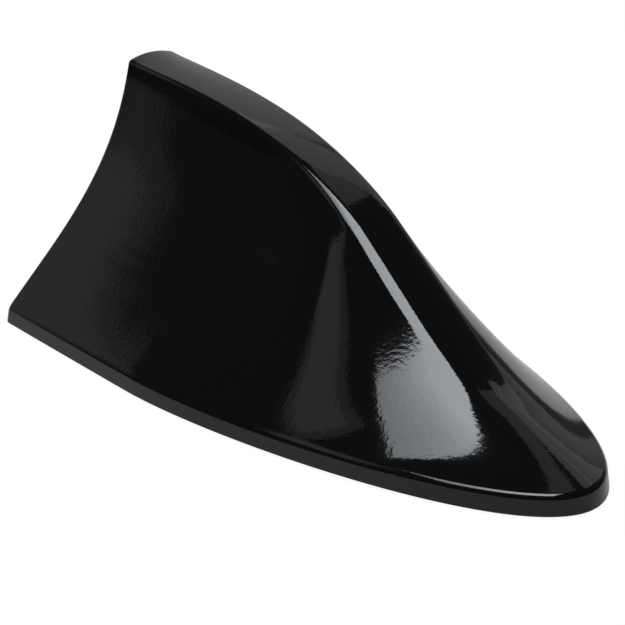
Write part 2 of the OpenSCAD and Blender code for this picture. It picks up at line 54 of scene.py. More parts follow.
class Value:
    """A number that a shader works out, written as a Python expression."""

    def __init__(self, paint: "Paint", socket: bpy.types.NodeSocket) -> None:
        """Wraps a socket.

        Args:
            paint: The material that the socket belongs to.
            socket: The output that carries the number.
        """
        self.paint = paint
        self.socket = socket

    def _maths(self, operation: str, first: Any, second: Any) -> "Value":
        """Adds one Math node.

        Args:
            operation: The node's operation.
            first: Its first number or Value.
            second: Its second number or Value.

        Returns:
            The node's result.
        """
        node = self.paint.node("ShaderNodeMath", {"operation": operation}, {0: first, 1: second})
        return Value(self.paint, node.outputs[0])

    def __add__(self, other: Any) -> "Value":
        """Returns the sum."""
        return self._maths("ADD", self, other)

    def __radd__(self, other: Any) -> "Value":
        """Returns the sum."""
        return self._maths("ADD", other, self)

    def __sub__(self, other: Any) -> "Value":
        """Returns the difference."""
        return self._maths("SUBTRACT", self, other)

    def __rsub__(self, other: Any) -> "Value":
        """Returns the difference."""
        return self._maths("SUBTRACT", other, self)

    def __mul__(self, other: Any) -> "Value":
        """Returns the product."""
        return self._maths("MULTIPLY", self, other)

    def __rmul__(self, other: Any) -> "Value":
        """Returns the product."""
        return self._maths("MULTIPLY", other, self)

    def __pow__(self, other: Any) -> "Value":
        """Returns the power."""
        return self._maths("POWER", self, other)


class Paint:
    """One material, made node by node on a Principled shader."""

    def __init__(self, name: str) -> None:
        """Starts an empty material.

        Args:
            name: The material's name.
        """
        self.material = bpy.data.materials.new(name)
        self.material.use_nodes = True
        self.tree = self.material.node_tree
        self.tree.nodes.clear()
        self.shader = self.tree.nodes.new("ShaderNodeBsdfPrincipled")
        self.output = self.tree.nodes.new("ShaderNodeOutputMaterial")
        self.tree.links.new(self.shader.outputs[0], self.output.inputs["Surface"])
        self.place = self.node("ShaderNodeTexCoord").outputs["Object"]

    def node(self, kind: str, settings: dict[str, Any] | None = None,
             inputs: dict[Any, Any] | None = None) -> bpy.types.Node:
        """Adds a node.

        Args:
            kind: The node's type.
            settings: Its settings; "stops" gives a ramp's (place, grey or colour) pairs.
            inputs: Numbers, colours, sockets or Values for its inputs.

        Returns:
            The new node.
        """
        made = self.tree.nodes.new(kind)
        for name, value in (settings or {}).items():
            if name == "stops":
                self._fill_ramp(made.color_ramp, value)
            else:
                setattr(made, name, value)
        for name, value in (inputs or {}).items():
            self.feed(made.inputs[name], value)
        return made

    @staticmethod
    def _fill_ramp(ramp: bpy.types.ColorRamp, stops: list[tuple[float, Any]]) -> None:
        """Gives a ramp its stops.

        Args:
            ramp: The ramp of a new node.
            stops: Pairs of place and grey level or colour.
        """
        while len(ramp.elements) < len(stops):
            ramp.elements.new(0.5)
        for element, (place, tone) in zip(ramp.elements, stops):
            element.position = place
            element.color = (tone, tone, tone, 1.0) if isinstance(tone, float) else (*tone, 1.0)

    def feed(self, socket: bpy.types.NodeSocket, value: Any) -> None:
        """Links or sets a socket.

        Args:
            socket: The input.
            value: A Value, an output socket, a number, or a colour.
        """
        if isinstance(value, Value):
            self.tree.links.new(value.socket, socket)
        elif isinstance(value, bpy.types.NodeSocket):
            self.tree.links.new(value, socket)
        elif isinstance(value, tuple) and len(value) == 3 and socket.type == "RGBA":
            socket.default_value = (*value, 1.0)
        else:
            socket.default_value = value

    def set(self, **values: Any) -> None:
        """Sets the shader's sockets by name, with _ for a space.

        Args:
            **values: Constants, Values or sockets, such as Base_Color or Roughness.
        """
        for name, value in values.items():
            self.feed(self.shader.inputs[name.replace("_", " ")], value)

    def noise(self, size: float, detail: float = 3.0, roughness: float = 0.5,
              stretch: tuple[float, float, float] = (1.0, 1.0, 1.0)) -> Value:
        """Adds a noise pattern on the object's own coordinates.

        Args:
            size: The size of a patch, in metres.
            detail: Octaves of finer noise.
            roughness: The share of the finer octaves.
            stretch: A scale along each axis, over that of the size.

        Returns:
            The noise, from 0 to 1 about 0.5.
        """
        scaled = self.node("ShaderNodeMapping", None, {"Vector": self.place, "Scale": stretch})
        made = self.node("ShaderNodeTexNoise", None, {
            "Vector": scaled.outputs[0], "Scale": 1.0 / size, "Detail": detail,
            "Roughness": roughness})
        return Value(self, made.outputs[0])

    def cells(self, size: float, feature: str = "F1") -> Value:
        """Adds a pattern of cells.

        Args:
            size: The size of a cell, in metres.
            feature: Voronoi's feature.

        Returns:
            The distance that the feature measures.
        """
        made = self.node("ShaderNodeTexVoronoi", {"feature": feature},
                         {"Vector": self.place, "Scale": 1.0 / size})
        return Value(self, made.outputs["Distance"])

    def ramp(self, value: Value, stops: list[tuple[float, Any]]) -> bpy.types.NodeSocket:
        """Turns a number into a tone.

        Args:
            value: The number.
            stops: Pairs of place and grey level or colour.

        Returns:
            The ramp's colour output.
        """
        return self.node("ShaderNodeValToRGB", {"stops": stops}, {"Fac": value}).outputs[0]

    def level(self, value: Value, low: float, high: float,
              to_low: float = 0.0, to_high: float = 1.0) -> Value:
        """Maps a range of a number onto another, and holds it there.

        Args:
            value: The number.
            low: Where it starts to rise.
            high: Where it stops rising.
            to_low: The result at low.
            to_high: The result at high.

        Returns:
            The mapped number.
        """
        made = self.node("ShaderNodeMapRange", {"clamp": True}, {
            "Value": value, "From Min": low, "From Max": high, "To Min": to_low,
            "To Max": to_high})
        return Value(self, made.outputs[0])

    def mix(self, mask: Any, first: Any, second: Any) -> bpy.types.NodeSocket:
        """Mixes two colours.

        Args:
            mask: The share of the second.
            first: A colour or socket.
            second: A colour or socket.

        Returns:
            The mixed colour.
        """
        made = self.node("ShaderNodeMix", {"data_type": "RGBA"})
        self.feed(made.inputs[0], mask)
        self.feed(made.inputs[6], first)
        self.feed(made.inputs[7], second)
        return made.outputs[2]

    def bump(self, height: Value, depth: float, strength: float = 1.0,
             under: bpy.types.NodeSocket | None = None) -> bpy.types.NodeSocket:
        """Adds a Bump node.

        Args:
            height: The height pattern.
            depth: Its height in metres.
            strength: Its strength.
            under: A Bump node's output that this one is laid over.

        Returns:
            The node's normal.
        """
        made = self.node("ShaderNodeBump", None, {"Height": height, "Distance": depth,
                                                  "Strength": strength})
        if under is not None:
            self.tree.links.new(under, made.inputs["Normal"])
        return made.outputs[0]


# -------------------------------------------------------------------- finishes


@dataclass(frozen=True)
class GlossMoulding:
    """High gloss black moulding: mirror skin with a fine orange peel."""

    name: str = "gloss_black_moulding"
    colour: tuple[float, float, float] = (0.0018, 0.0018, 0.0021)
    roughness: float = 0.055
    peel_size: float = 0.0010
    peel_depth: float = 0.000014
    swell_size: float = 0.017
    swell_depth: float = 0.000012

    def make(self) -> bpy.types.Material:
        """Returns the finished material."""
        paint = Paint(self.name)
        peel = paint.noise(self.peel_size, 2.0, 0.55)
        swell = paint.noise(self.swell_size, 1.0, 0.4)
        haze = paint.noise(0.009, 4.0, 0.6)
        pits = paint.level(paint.cells(0.0021), 0.0, 0.14)
        low = paint.bump(swell, self.swell_depth)
        skin = paint.bump(peel, self.peel_depth, 1.0, low)
        paint.set(
            Base_Color=paint.mix(haze, self.colour, tuple(c * 1.35 for c in self.colour)),
            Roughness=paint.level(haze, 0.3, 0.75, self.roughness * 0.85, self.roughness * 1.2)
            + (1.0 - pits) * 0.05,
            IOR=1.5,
            Normal=skin)
        return paint.material


@dataclass(frozen=True)
class Moulding:
    """Plain moulded plastic or rubber, with a spark eroded grain."""

    name: str
    colour: tuple[float, float, float]
    roughness: float = 0.5
    grain_size: float = 0.0006
    grain_depth: float = 0.00002
    mottle: float = 0.25

    def make(self) -> bpy.types.Material:
        """Returns the finished material."""
        paint = Paint(self.name)
        grain = paint.noise(self.grain_size, 3.0, 0.6)
        broad = paint.noise(0.012, 3.0, 0.5)
        light = tuple(min(1.0, c * (1.0 + self.mottle)) for c in self.colour)
        dark = tuple(c * (1.0 - self.mottle) for c in self.colour)
        paint.set(
            Base_Color=paint.mix(broad, dark, light),
            Roughness=paint.level(grain, 0.3, 0.7, self.roughness - 0.06, self.roughness + 0.08),
            Normal=paint.bump(grain, self.grain_depth))
        return paint.material


@dataclass(frozen=True)
class Foam:
    """Closed cell foam with cut edges and a faintly shiny adhesive face."""

    name: str = "closed_cell_foam"
    colour: tuple[float, float, float] = (0.035, 0.035, 0.038)
    cell: float = 0.0007

    def make(self) -> bpy.types.Material:
        """Returns the finished material."""
        paint = Paint(self.name)
        cells = paint.cells(self.cell)
        fine = paint.cells(self.cell * 0.45)
        pores = paint.level(cells, 0.15, 0.65)
        cloud = paint.noise(0.015, 3.0, 0.55)
        low = paint.bump(cells, 0.00016)
        paint.set(
            Base_Color=paint.mix(pores * 0.7 + cloud * 0.3, tuple(c * 0.55 for c in self.colour),
                                 tuple(c * 1.5 for c in self.colour)),
            Roughness=paint.level(cloud, 0.35, 0.7, 0.62, 0.86),
            Normal=paint.bump(fine, 0.00005, 0.8, low))
        return paint.material


@dataclass(frozen=True)
class SheetMetal:
    """Plated or bare metal with rolling or turning marks and a light tarnish."""

    name: str
    colour: tuple[float, float, float]
    roughness: float = 0.32
    stretch: tuple[float, float, float] = (0.06, 1.0, 1.0)
    tarnish: float = 0.3

    def make(self) -> bpy.types.Material:
        """Returns the finished material."""
        paint = Paint(self.name)
        brushed = paint.noise(0.0005, 3.0, 0.6, self.stretch)
        cloud = paint.noise(0.006, 4.0, 0.6)
        dull = tuple(c * (1.0 - self.tarnish) for c in self.colour)
        paint.set(
            Base_Color=paint.mix(paint.level(cloud, 0.35, 0.7), self.colour, dull),
            Metallic=1.0,
            Roughness=paint.level(cloud, 0.3, 0.7, self.roughness - 0.06, self.roughness + 0.12),
            Normal=paint.bump(brushed, 0.000008))
        return paint.material


@dataclass(frozen=True)
class CircuitBoard:
    """Green solder resist over glass fibre, with buried copper lanes showing as a paler green."""

    name: str = "circuit_board"
    colour: tuple[float, float, float] = (0.012, 0.11, 0.045)
    lane: tuple[float, float, float] = (0.03, 0.2, 0.075)

    def make(self) -> bpy.types.Material:
        """Returns the finished material."""
        paint = Paint(self.name)
        lanes = paint.node("ShaderNodeTexBrick", {"offset": 0.5, "offset_frequency": 2}, {
            "Vector": paint.place, "Color1": (0.0, 0.0, 0.0), "Color2": (0.0, 0.0, 0.0),
            "Mortar": (1.0, 1.0, 1.0), "Scale": 130.0, "Mortar Size": 0.035, "Brick Width": 1.1,
            "Row Height": 0.42})
        weave = paint.noise(0.0008, 2.0, 0.5)
        mask = Value(paint, lanes.outputs["Fac"])
        low = paint.bump(weave, 0.000012)
        paint.set(
            Base_Color=paint.mix(mask, self.colour, self.lane),
            Roughness=paint.level(weave, 0.3, 0.7, 0.3, 0.42),
            Normal=paint.bump(mask, 0.00003, 0.7, low))
        return paint.material


@dataclass(frozen=True)
class VentCloth:
    """Thin white vent membrane with a fine felted surface."""

    name: str = "vent_cloth"
    colour: tuple[float, float, float] = (0.78, 0.78, 0.76)

    def make(self) -> bpy.types.Material:
        """Returns the finished material."""
        paint = Paint(self.name)
        felt = paint.noise(0.0003, 4.0, 0.7)
        paint.set(
            Base_Color=paint.mix(felt, tuple(c * 0.85 for c in self.colour), self.colour),
            Roughness=paint.level(felt, 0.3, 0.7, 0.75, 0.95),
            Normal=paint.bump(felt, 0.00004))
        return paint.material


# ----------------------------------------------------------------- bpy helpers


class Bench:
    """The work bench: adds, shapes and finishes meshes with Blender's own tools."""

    @staticmethod
    def clear() -> None:
        """Leaves edit mode and deselects everything."""
        if bpy.context.object and bpy.context.object.mode != "OBJECT":
            bpy.ops.object.mode_set(mode="OBJECT")
        bpy.ops.object.select_all(action="DESELECT")

    @classmethod
    def pick(cls, piece: bpy.types.Object) -> None:
        """Selects one piece and makes it active.

        Args:
            piece: The piece.
        """
        cls.clear()
        piece.select_set(True)
        bpy.context.view_layer.objects.active = piece

    @classmethod
    def apply(cls, piece: bpy.types.Object, kind: str, **settings: Any) -> None:
        """Adds a modifier and applies it.

        Args:
            piece: The piece.
            kind: The modifier's type.
            **settings: Its settings.
        """
        cls.pick(piece)
        made = piece.modifiers.new(kind.lower(), kind)
        for name, value in settings.items():
            setattr(made, name, value)
        bpy.ops.object.modifier_apply(modifier=made.name)

    @classmethod
    def edit(cls, piece: bpy.types.Object, *steps: Callable[[], Any]) -> None:
        """Runs edit mode operators on the whole mesh.

        Args:
            piece: The piece.
            *steps: The operators, in order.
        """
        cls.pick(piece)
        bpy.ops.object.mode_set(mode="EDIT")
        bpy.ops.mesh.select_all(action="SELECT")
        for step in steps:
            step()
        bpy.ops.object.mode_set(mode="OBJECT")

    @classmethod
    def smooth(cls, piece: bpy.types.Object, angle: float) -> None:
        """Shades a piece smooth up to an angle.

        Args:
            piece: The piece.
            angle: The angle, in degrees.
        """
        cls.pick(piece)
        bpy.ops.object.shade_smooth_by_angle(angle=math.radians(angle))

    @staticmethod
    def paint(piece: bpy.types.Object, material: bpy.types.Material) -> None:
        """Gives a piece its one material.

        Args:
            piece: The piece.
            material: The material.
        """
        piece.data.materials.clear()
        piece.data.materials.append(material)


# ------------------------------------------------------------------- the cover


class Bezier:
    """A cubic curve by its four control points."""

    def __init__(self, *points: tuple[float, float]) -> None:
        """Keeps the control points.

        Args:
            *points: Four points.
        """
        self.points = np.array(points, float)

    def at(self, t: Any) -> np.ndarray:
        """Returns the points at t."""
        t = np.asarray(t, float)[..., None]
        a, b, c, d = self.points
        return (1 - t) ** 3 * a + 3 * (1 - t) ** 2 * t * b + 3 * (1 - t) * t * t * c + t ** 3 * d

    def way(self, t: Any) -> np.ndarray:
        """Returns the directions of travel at t."""
        t = np.asarray(t, float)[..., None]
        a, b, c, d = self.points
        return 3 * (1 - t) ** 2 * (b - a) + 6 * (1 - t) * t * (c - b) + 3 * t * t * (d - c)


def clip(u: float) -> float:
    """Returns u held between 0 and 1."""
    return min(max(u, 0.0), 1.0)


def ease(u: float) -> float:
    """Returns a smooth step of u."""
    v = clip(u)
    return v * v * v * (6 * v * v - 15 * v + 10)


def blend(a: Any, b: Any, u: Any) -> Any:
    """Returns what lies a share u of the way from a to b."""
    return a + (b - a) * u


@dataclass(frozen=True)
class Station:
    """One place on the plan outline, where a cut runs in to the spine."""

    place: tuple[float, float]
    out: tuple[float, float]
    corner: bool = False


@dataclass
class FinCover:
    """The gloss cover: a fin lofted from the rim to the spine, hollow, with a stepped lower edge.

    Sizes are in millimetres, and places count from the tail, as in the part's source.
    """

    body_l: float = 155.0
    body_w: float = 79.0
    tail_w: float = 78.8
    widest_x: float = 50.0
    tail_reach: float = 14.4
    tail_flare: float = 0.01
    back_reach: float = 16.0
    front_reach: float = 32.4
    nose_reach: float = 21.8
    corner_r: float = 2.6
    body_h: float = 56.8
    tip_reach: float = 8.0
    tip_fall: float = 0.27
    steep_x: float = 86.6
    steep_z: float = 40.6
    steep_fall: float = 0.69
    steep_back: float = 26.6
    steep_front: float = 14.14
    spine_end_x: float = 127.0
    spine_end_z: float = 15.4
    end_fall: float = 0.34
    end_reach: float = 8.0
    tip_lean: float = 0.2
    lean_curve: float = 1.29
    lean_reach: float = 53.0
    spine_rear: float = 5.9
    spine_front: float = 5.1
    spine_r: float = 1.0
    nose_spine_r: float = 5.5
    crown: float = 0.25
    tail_crown: float = 1.1
    tip_r: float = 1.2
    side_draft: float = 11.0
    nose_draft: float = 49.0
    open_from: float = 0.28
    open_to: float = 0.79
    upper: tuple[float, float] = (0.48, 0.62)
    lower: tuple[float, float] = (0.63, 0.26)
    rim_h: float = 5.0
    rim_draft: float = 0.5
    rim_r: float = 0.9
    rim_gap: float = 0.5
    foot_rear: float = 46.0
    foot_mid: float = 42.0
    foot_nose: float = 22.0
    wall: float = 2.0
    gap: float = 0.3
    pocket_inset: float = 1.6
    pocket_top: float = 3.5
    corner_steps: int = 14
    tail_steps: int = 76
    nose_steps: int = 96
    outer_steps: tuple[int, int, int, int] = (10, 14, 64, 12)
    inner_steps: tuple[int, int, int] = (4, 5, 18)
    tables: tuple[np.ndarray, np.ndarray, np.ndarray] | None = field(default=None, repr=False)

    def __post_init__(self) -> None:
        """Works out the outline's curves and the spine's tables."""
        self.rim_in = self.rim_draft + self.rim_r
        flare = self.tail_w / 2 + self.tail_reach * self.tail_flare
        self.side_tail = Bezier((0, self.tail_w / 2), (self.tail_reach, flare),
                                (self.widest_x - self.back_reach, self.body_w / 2),
                                (self.widest_x, self.body_w / 2))
        self.side_nose = Bezier((self.widest_x, self.body_w / 2),
                                (self.widest_x + self.front_reach, self.body_w / 2),
                                (self.body_l, self.nose_reach), (self.body_l, 0))
        rise = Bezier((0, self.body_h),
                      (self.tip_reach, self.body_h - self.tip_reach * self.tip_fall),
                      (self.steep_x - self.steep_back,
                       self.steep_z + self.steep_back * self.steep_fall),
                      (self.steep_x, self.steep_z))
        fall = Bezier((self.steep_x, self.steep_z),
                      (self.steep_x + self.steep_front,
                       self.steep_z - self.steep_front * self.steep_fall),
                      (self.spine_end_x - self.end_reach,
                       self.spine_end_z + self.end_reach * self.end_fall),
                      (self.spine_end_x, self.spine_end_z))
        t = np.linspace(0, 1, 241)
        points = np.vstack([rise.at(t), fall.at(t[1:])])
        ways = np.vstack([rise.way(t), fall.way(t[1:])])
        self.tables = (points[:, 0], points[:, 1], ways[:, 1] / ways[:, 0])

    def corner_in(self, t: float) -> float:
        """Returns the corner's radius when the outline is moved in by t."""
        return max(self.corner_r - t, self.rim_in + self.gap)

    def stations(self, t: float) -> list[Station]:
        """Lists the places round one side, from the tail's middle to the nose.

        Args:
            t: How far the outline is moved in.

        Returns:
            The stations.
        """
        start = (t + self.corner_in(t)) / (3 * self.tail_reach)
        us = [blend(start, 1.0, k / self.tail_steps) for k in range(self.tail_steps + 1)]
        side = [self._edge(self.side_tail, u, t) for u in us]
        side += [self._edge(self.side_nose, (k + 1) / self.nose_steps, t)
                 for k in range(self.nose_steps)]
        first, r = side[0].place, self.corner_in(t)
        corner = []
        for k in range(self.corner_steps):
            a = math.radians(90 * k / self.corner_steps)
            corner.append(Station((t + (first[0] - t) * (1 - math.cos(a)),
                                   first[1] - r * (1 - math.sin(a))),
                                  (-math.cos(a), math.sin(a)), True))
        return corner + side

    def _edge(self, curve: Bezier, u: float, t: float) -> Station:
        """Returns the station at u on one of the outline's curves, moved in by t."""
        d = curve.way(u)
        d = d / np.linalg.norm(d)
        p = curve.at(u) - np.array([-d[1], d[0]]) * t
        return Station((float(p[0]), float(p[1])), (float(-d[1]), float(d[0])))

    def lean(self, p: np.ndarray) -> np.ndarray:
        """Leans points forward toward the tail's tip.

        Args:
            p: Rows of x, y, z.

        Returns:
            The leant rows.
        """
        up = np.clip((p[:, 2] - self.rim_h) / (self.body_h - self.rim_h), 0, 1.2)
        on = np.maximum(1 - p[:, 0] / self.lean_reach, 0)
        out = p.copy()
        out[:, 0] += self.tip_lean * up ** self.lean_curve * on * on
        return out

    def cut(self, q: Station, t: float, first: Station, last_x: float,
            steps: tuple[int, ...]) -> np.ndarray:
        """Works out one cut, from the spine's middle to the foot.

        Args:
            q: Its station.
            t: How far the surface is moved in.
            first: The station where the corner ends.
            last_x: The far end of the spine's run.
            steps: Points along the band, the edge, the flank and the lip.

        Returns:
            Rows of x, y, z.
        """
        o, n = np.array(q.place), np.array(q.out)
        r = o - n * self.rim_in
        shift = (first.place[1] - self.rim_in * first.out[1] - r[1]) if q.corner else 0.0
        drop = self.tip_r * (1 - n[1]) if q.corner else 0.0
        u = clip((r[0] - 0.45 * self.body_l) / (last_x - 0.45 * self.body_l))
        xc = r[0] - (last_x - self.spine_end_x) * u ** 3
        fall = float(np.interp(xc, self.tables[0], self.tables[2]))
        zc = float(np.interp(xc, self.tables[0], self.tables[1])) - drop \
            - t * math.sqrt(1 + fall * fall)
        arm = np.array([r[0] - xc, r[1]])
        reach = float(np.linalg.norm(arm))
        e = arm / reach
        g = fall * e[0]
        share = r[0] / last_x
        ze = self.rim_h - t
        s = min(blend(self.spine_rear, self.spine_front, clip(share / 0.8)) - t,
                0.35 * reach) - shift
        if share < 0.55:
            foot = blend(self.foot_rear, self.foot_mid, ease(share / 0.55))
        else:
            foot = blend(self.foot_mid, self.foot_nose, ease((share - 0.55) / 0.45))
        foot = math.radians(foot)
        k1, k2 = blend(*self.upper, ease(share)), blend(*self.lower, ease(share))
        dome = ease((share - 0.72) / 0.18)
        opened = ease((share - self.open_from) / (self.open_to - self.open_from))
        draft = math.radians(blend(self.side_draft, self.nose_draft, opened))
        bow = blend(self.crown, self.tail_crown, clip(1 - share / 0.35) ** 2)
        down = np.array([math.sin(draft), -math.cos(draft)])
        over = np.array([-1.0, 2 * bow / s - g])
        over = over / np.linalg.norm(over)
        zv = zc + g * s - bow
        turn = math.pi - math.acos(float(np.dot(over, down)))
        spine_r = blend(self.spine_r, self.nose_spine_r, opened)
        pull = min(max(spine_r - t, self.gap) * math.tan(turn / 2), 0.8 * s,
                   0.45 * max(zv - ze, 0.31))
        v = np.array([s, zv])
        e0, e1 = v + pull * over, v + pull * down
        lift = zc + g * e0[0] - bow * (e0[0] / s) ** 2 - e0[1]
        nb, ne, nf = steps[:3]
        x = e0[0] * np.arange(nb) / nb
        band = np.column_stack([x, zc + g * x - bow * (x / s) ** 2])
        k = np.arange(ne + 1) / ne
        edge = Bezier(e0, blend(e0, v, 0.55), blend(e1, v, 0.55), e1).at(k)
        edge[:, 1] += lift * (1 - k)
        end = np.array([reach, ze])
        flank = Bezier(e1, e1 + down * k1 * (zv - ze),
                       end + np.array([-math.cos(foot), math.sin(foot)]) * k2 * (reach - s),
                       end).at(np.arange(1, nf + 1) / nf)
        raw = np.vstack([band, edge, flank])
        h = raw[:, 0] / reach
        z = (zc * (2 * h ** 3 - 3 * h ** 2 + 1) + reach * g * (h ** 3 - 2 * h ** 2 + h)
             + ze * (3 * h ** 2 - 2 * h ** 3) - reach * math.tan(foot) * (h ** 3 - h ** 2))
        upper = self.lean(np.column_stack([
            xc + e[0] * raw[:, 0], e[1] * raw[:, 0], blend(raw[:, 1], z, dome)]))
        if t > 0:
            return upper
        grade = -min(math.tan(foot) / max(float(np.dot(e, n)), 0.2), 2.0)
        q0 = np.array([r[0], r[1], self.rim_h])
        q1 = np.array([*(o - n * self.rim_draft), self.rim_h + grade * self.rim_r])
        q3 = np.array([*o, self.rim_gap])
        low = clip((q1[2] - self.rim_r * 0.9 - self.rim_gap) / (q1[2] - self.rim_gap))
        q2 = blend(q3, q1, low)
        nl = steps[3]
        lip = Bezier(q0, blend(q0, q1, 0.55), blend(q2, q1, 0.55), q2).at(
            np.arange(1, nl + 1) / nl)
        return np.vstack([upper, lip, [blend(q2, q3, 0.5)], [q3]])

    def surface(self, t: float, steps: tuple[int, ...]) -> np.ndarray:
        """Works out every cut of one side, from the tail's middle to the nose.

        Args:
            t: How far the surface is moved in.
            steps: Points along each cut.

        Returns:
            An array of stations by points by x, y, z.
        """
        stations = self.stations(t)
        first, last_x = stations[self.corner_steps], stations[-1].place[0] - self.rim_in
        cuts = [self.cut(q, t, first, last_x, steps) for q in stations]
        middle = cuts[0].copy()
        middle[:, 1] = 0.0
        return np.array([middle, *cuts])

    def rows(self) -> np.ndarray:
        """Returns the outer face, the stepped lower edge and the inner face, as one sheet."""
        outer = self.surface(0.0, self.outer_steps)
        inner = self.surface(self.wall, self.inner_steps)
        pocket = [q.place for q in self.stations(self.pocket_inset)]
        ring = np.array([(pocket[0][0], 0.0), *pocket])
        steps = []
        for z in (self.rim_gap, self.pocket_top):
            steps.append(np.column_stack([ring, np.full(len(ring), z)])[:, None, :])
        foot = inner[:, -1:, :].copy()
        foot[:, :, 2] = self.pocket_top
        sheet = np.concatenate([outer, *steps, foot, inner[:, ::-1, :]], axis=1)
        sheet[-1, :, 1] = 0.0
        sheet[:, 0, 1] = 0.0
        sheet[:, -1, 1] = 0.0
        return sheet

    def build(self) -> bpy.types.Object:
        """Returns the cover as one closed shell.

        Half of it is a grid laid on the cuts, which is mirrored and welded along its middle.
        """
        sheet = self.rows()
        across, along = sheet.shape[0], sheet.shape[1]
        Bench.clear()
        bpy.ops.mesh.primitive_grid_add(x_subdivisions=along - 1, y_subdivisions=across - 1,
                                        size=1.0, location=(0, 0, 0))
        piece = bpy.context.object
        piece.name = piece.data.name = "gloss_cover"
        places = sheet.reshape(-1, 3).copy()
        places[:, 0] -= self.body_l / 2
        piece.data.vertices.foreach_set("co", (places * MM).astype(np.float32).ravel())
        piece.data.update()
        Bench.edit(piece, lambda: bpy.ops.mesh.remove_doubles(threshold=2e-7))
        Bench.apply(piece, "MIRROR", use_axis=(False, True, False), merge_threshold=2e-7)
        Bench.edit(piece,
                   lambda: bpy.ops.mesh.remove_doubles(threshold=4e-7),
                   lambda: bpy.ops.mesh.normals_make_consistent(inside=False))
        Bench.smooth(piece, 38)
        return piece

    def dress(self, piece: bpy.types.Object) -> None:
        """Gives the cover its finish and sets it in the frame.

        Args:
            piece: The cover.
        """
        Bench.paint(piece, GlossMoulding().make())
        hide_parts("outer_shell")
        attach(piece, "root")


# ---------------------------------------------------------------- the foam pad


@dataclass
class FoamPad:
    """The stick on pad: a foam sheet cut to the base, with soft edges and a slot for the cable."""

    inset: float = 3.0
    thick: float = 1.0
    edge_r: float = 0.25
    slot_r: float = 8.2
    slot_tail: float = 102.4
    slot_nose: float = 116.0

    def outline(self, cover: FinCover) -> list[tuple[float, float]]:
        """Returns the pad's outline, in millimetres from the tail.

        Args:
            cover: The cover that it lies under.
        """
        side = [q.place for q in cover.stations(self.inset)][::2]
        near = [(x, -y) for x, y in side]
        far = [(x, y) for x, y in side if y > 0.01]
        return near + far[::-1]

    def slot(self) -> list[tuple[float, float]]:
        """Returns the slot's outline, wide at the cable and narrow at the vent."""
        wide = [(self.slot_nose + self.slot_r * math.cos(math.radians(a)),
                 self.slot_r * math.sin(math.radians(a))) for a in range(-150, 151, 6)]
        narrow = [(self.slot_tail + self.slot_r / 2 * math.cos(math.radians(a)),
                   self.slot_r / 2 * math.sin(math.radians(a))) for a in range(90, 271, 9)]
        return wide + narrow

    def build(self, cover: FinCover) -> bpy.types.Object:
        """Returns the pad.

        Args:
            cover: The cover that it lies under.
        """
        Bench.clear()
        bpy.ops.object.add(type="MESH", location=(0, 0, 0))
        piece = bpy.context.object
        piece.name = piece.data.name = "foam_pad"
        shape = bmesh.new()
        edges = []
        for ring in (self.outline(cover), self.slot()):
            corners = [shape.verts.new(((x - cover.body_l / 2) * MM, y * MM, 0.0))
                       for x, y in ring]
            edges += [shape.edges.new((a, b)) for a, b in zip(corners, corners[1:] + corners[:1])]
        bmesh.ops.triangle_fill(shape, use_beauty=True, use_dissolve=False, edges=edges)
        shape.to_mesh(piece.data)
        shape.free()
        Bench.edit(piece,
                   lambda: bpy.ops.mesh.extrude_region_move(
                       TRANSFORM_OT_translate={"value": (0, 0, self.thick * MM)}))
        Bench.edit(piece, lambda: bpy.ops.mesh.normals_make_consistent(inside=False))
        Bench.apply(piece, "BEVEL", width=self.edge_r * MM, segments=3, limit_method="ANGLE",
                    angle_limit=math.radians(50))
        Bench.apply(piece, "TRIANGULATE")
        Bench.smooth(piece, 40)
        return piece

    def dress(self, piece: bpy.types.Object) -> None:
        """Gives the pad its finish and sets it in the frame.

        Args:
            piece: The pad.
        """
        Bench.paint(piece, Foam().make())
        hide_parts("adhesive_pad")
        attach(piece, "root")


# ------------------------------------------------------------- carried solids


class Stock(Enum):
    """The finishes of the solids that keep their own shape."""

    BASE = Moulding("base_moulding", (0.018, 0.018, 0.019), 0.52)
    RUBBER = Moulding("seal_rubber", (0.014, 0.014, 0.015), 0.66, 0.0009, 0.00003)
    ZINC = SheetMetal("zinc_plate", (0.60, 0.61, 0.63), 0.34)
    TIN = SheetMetal("tin_plate", (0.68, 0.68, 0.67), 0.26)
    COPPER = SheetMetal("bare_copper", (0.78, 0.36, 0.19), 0.3, (1.0, 1.0, 1.0), 0.35)
    BRASS = SheetMetal("plated_brass", (0.80, 0.62, 0.28), 0.24, (1.0, 1.0, 1.0), 0.2)
    STEEL = SheetMetal("screw_steel", (0.52, 0.52, 0.54), 0.3, (1.0, 1.0, 1.0), 0.3)
    BOARD = CircuitBoard()
    NYLON = Moulding("natural_nylon", (0.72, 0.70, 0.64), 0.45, 0.0012, 0.00001, 0.06)
    CHIP = Moulding("chip_package", (0.012, 0.012, 0.013), 0.42, 0.0004, 0.00001)
    CERAMIC = Moulding("fired_ceramic", (0.42, 0.28, 0.15), 0.4, 0.0005, 0.00001)
    FERRITE = Moulding("ferrite_core", (0.05, 0.05, 0.055), 0.5, 0.0007, 0.00002)
    VENT = VentCloth()


